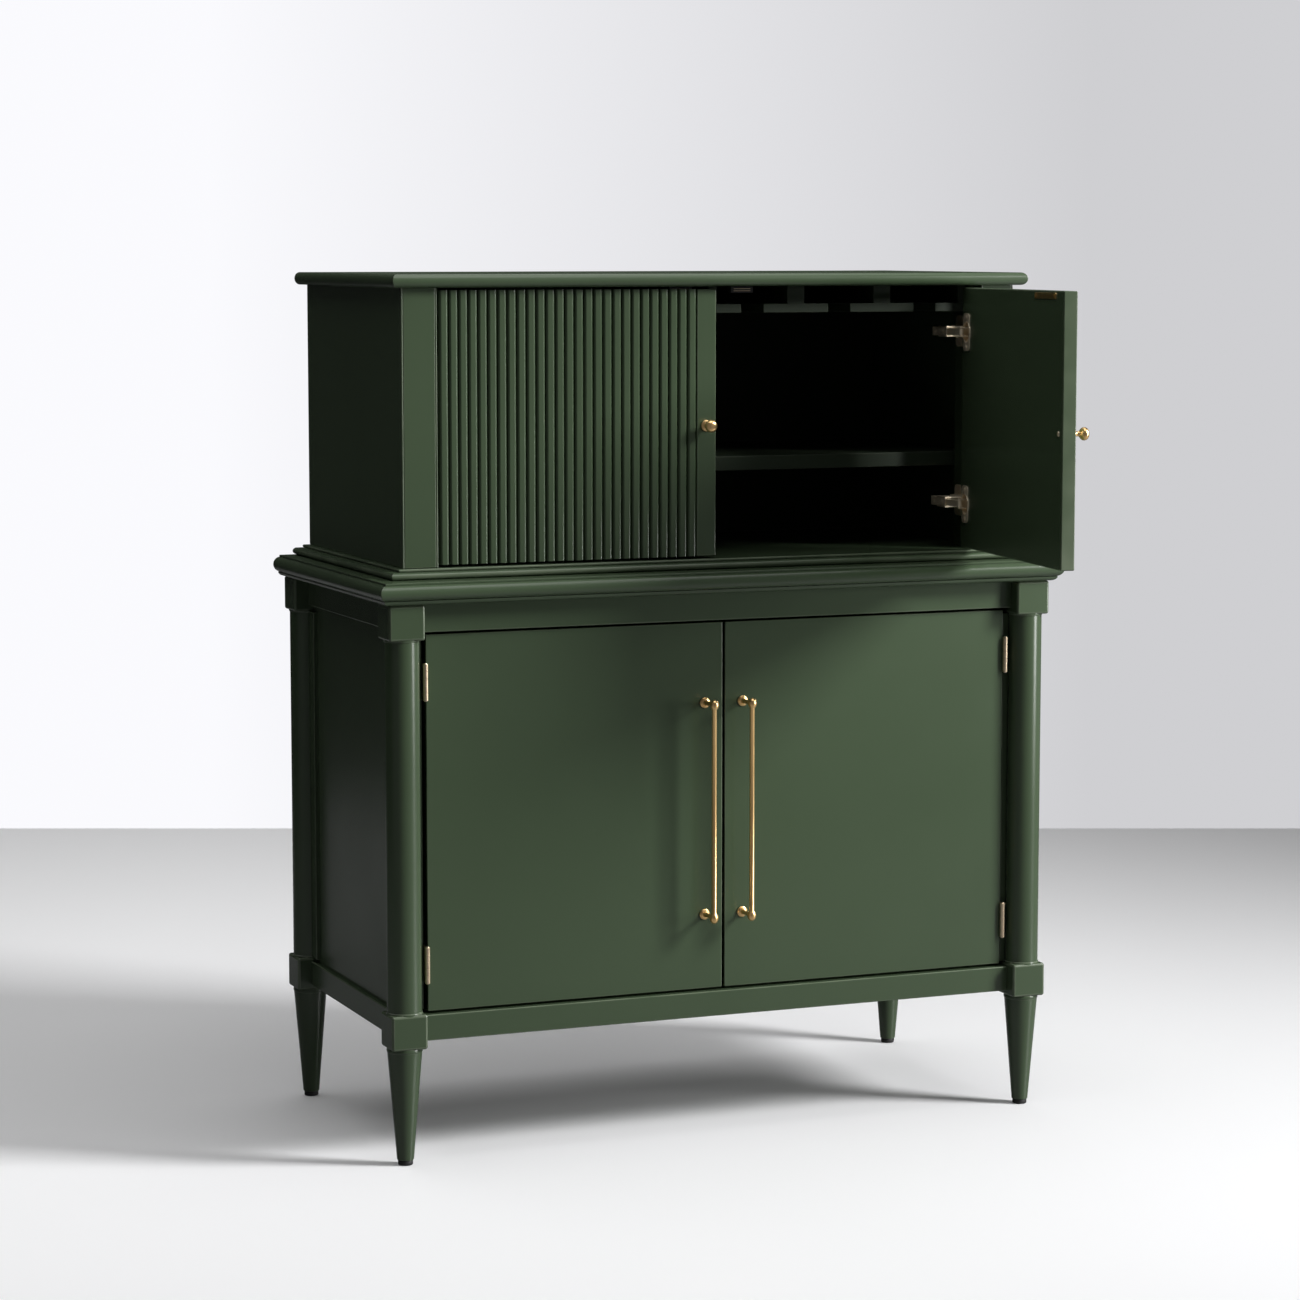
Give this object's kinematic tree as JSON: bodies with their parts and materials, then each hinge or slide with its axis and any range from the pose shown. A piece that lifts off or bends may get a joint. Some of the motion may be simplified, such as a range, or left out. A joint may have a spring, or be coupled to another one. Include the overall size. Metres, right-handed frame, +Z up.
{
  "type": "bar cabinet",
  "caption": "Two-stage bar cabinet: lower case with two doors on turned corner posts, and a narrower upper case with two reeded doors, a shelf and a stemware rack.",
  "frame": {"origin": "on the floor, in the middle of the whole cabinet's box with its right upper door open", "axes": "+Z up, the doors face -Y, +X to the right of someone facing the doors"},
  "size_m": [1.148, 0.9398, 1.35],
  "materials": {
    "lacquer": "satin olive-green paint on wood",
    "brass": "satin-brushed brass",
    "hinge_metal": "bronze-plated",
    "glide": "matt black"
  },
  "bodies": {
    "cabinet": {"glide_front_left": "glide", "glide_front_right": "glide", "glide_back_left": "glide", "glide_back_right": "glide", "post_front_left": "lacquer", "post_front_right": "lacquer", "post_back_left": "lacquer", "post_back_right": "lacquer", "bottom_rail_front": "lacquer", "bottom_rail_left": "lacquer", "bottom_rail_right": "lacquer", "top_rail_front": "lacquer", "top_rail_left": "lacquer", "top_rail_right": "lacquer", "side_frame_left": "lacquer", "side_frame_right": "lacquer", "lower_back": "lacquer", "deck": "lacquer", "lower_shelf": "lacquer", "waist_board": "lacquer", "upper_plinth": "lacquer", "upper_side_left": "lacquer", "upper_side_right": "lacquer", "face_stile_left": "lacquer", "face_stile_right": "lacquer", "upper_back": "lacquer", "upper_shelf": "lacquer", "top_board": "lacquer", "rack_rail_1": "lacquer", "rack_rail_2": "lacquer", "rack_rail_3": "lacquer", "rack_rail_4": "lacquer", "butt_frame_leaf_bottom_left": "hinge_metal", "butt_frame_leaf_top_left": "hinge_metal", "butt_frame_leaf_bottom_right": "hinge_metal", "butt_frame_leaf_top_right": "hinge_metal", "hinge_arm_bottom_left": "hinge_metal", "hinge_arm_top_left": "hinge_metal", "hinge_arm_bottom_right": "hinge_metal", "hinge_arm_top_right": "hinge_metal"},
    "lower_left_door": {"lower_door_left": "lacquer", "bar_pull_left": "brass", "butt_door_leaf_bottom_left": "hinge_metal", "butt_door_leaf_top_left": "hinge_metal"},
    "lower_right_door": {"lower_door_right": "lacquer", "bar_pull_right": "brass", "butt_door_leaf_bottom_right": "hinge_metal", "butt_door_leaf_top_right": "hinge_metal"},
    "upper_left_door": {"upper_door_left": "lacquer", "knob_left": "brass", "hinge_cup_bottom_left": "hinge_metal", "hinge_cup_top_left": "hinge_metal"},
    "upper_right_door": {"upper_door_right": "lacquer", "knob_right": "brass", "hinge_cup_bottom_right": "hinge_metal", "hinge_cup_top_right": "hinge_metal"},
    "left_hinge_links": {"hinge_link_bottom_left": "hinge_metal", "hinge_link_top_left": "hinge_metal"},
    "right_hinge_links": {"hinge_link_bottom_right": "hinge_metal", "hinge_link_top_right": "hinge_metal"}
  },
  "joints": [
    {"name": "lower_left_door_hinge", "type": "hinge", "parent": "cabinet", "child": "lower_left_door", "pos_m": [-0.491, -0.05215, 0.5225], "axis": [0, 0, -1], "range_deg": [0, 110]},
    {"name": "lower_right_door_hinge", "type": "hinge", "parent": "cabinet", "child": "lower_right_door", "pos_m": [0.491, -0.05215, 0.5225], "axis": [0, 0, 1], "range_deg": [0, 110]},
    {"name": "upper_left_door_hinge", "type": "hinge", "parent": "cabinet", "child": "upper_left_door", "pos_m": [-0.452, -0.02515, 1.11925], "axis": [0, 0, -1], "range_deg": [0, 95]},
    {"name": "upper_right_door_hinge", "type": "hinge", "parent": "cabinet", "child": "upper_right_door", "pos_m": [0.452, -0.02515, 1.11925], "axis": [0, 0, 1], "range_deg": [-82, 13]},
    {"name": "left_hinge_links_turn", "type": "hinge", "parent": "upper_left_door", "child": "left_hinge_links", "pos_m": [-0.4425, 0.00785, 1.11925], "axis": [0, 0, -1], "range_deg": [-95, 0]},
    {"name": "right_hinge_links_turn", "type": "hinge", "parent": "upper_right_door", "child": "right_hinge_links", "pos_m": [0.418, -0.02996, 1.11925], "axis": [0, 0, 1], "range_deg": [-13, 82]}
  ],
  "couplings": [
    {"joint": "left_hinge_links_turn", "follows": "upper_left_door_hinge", "ratio": -1},
    {"joint": "right_hinge_links_turn", "follows": "upper_right_door_hinge", "ratio": -1}
  ]
}
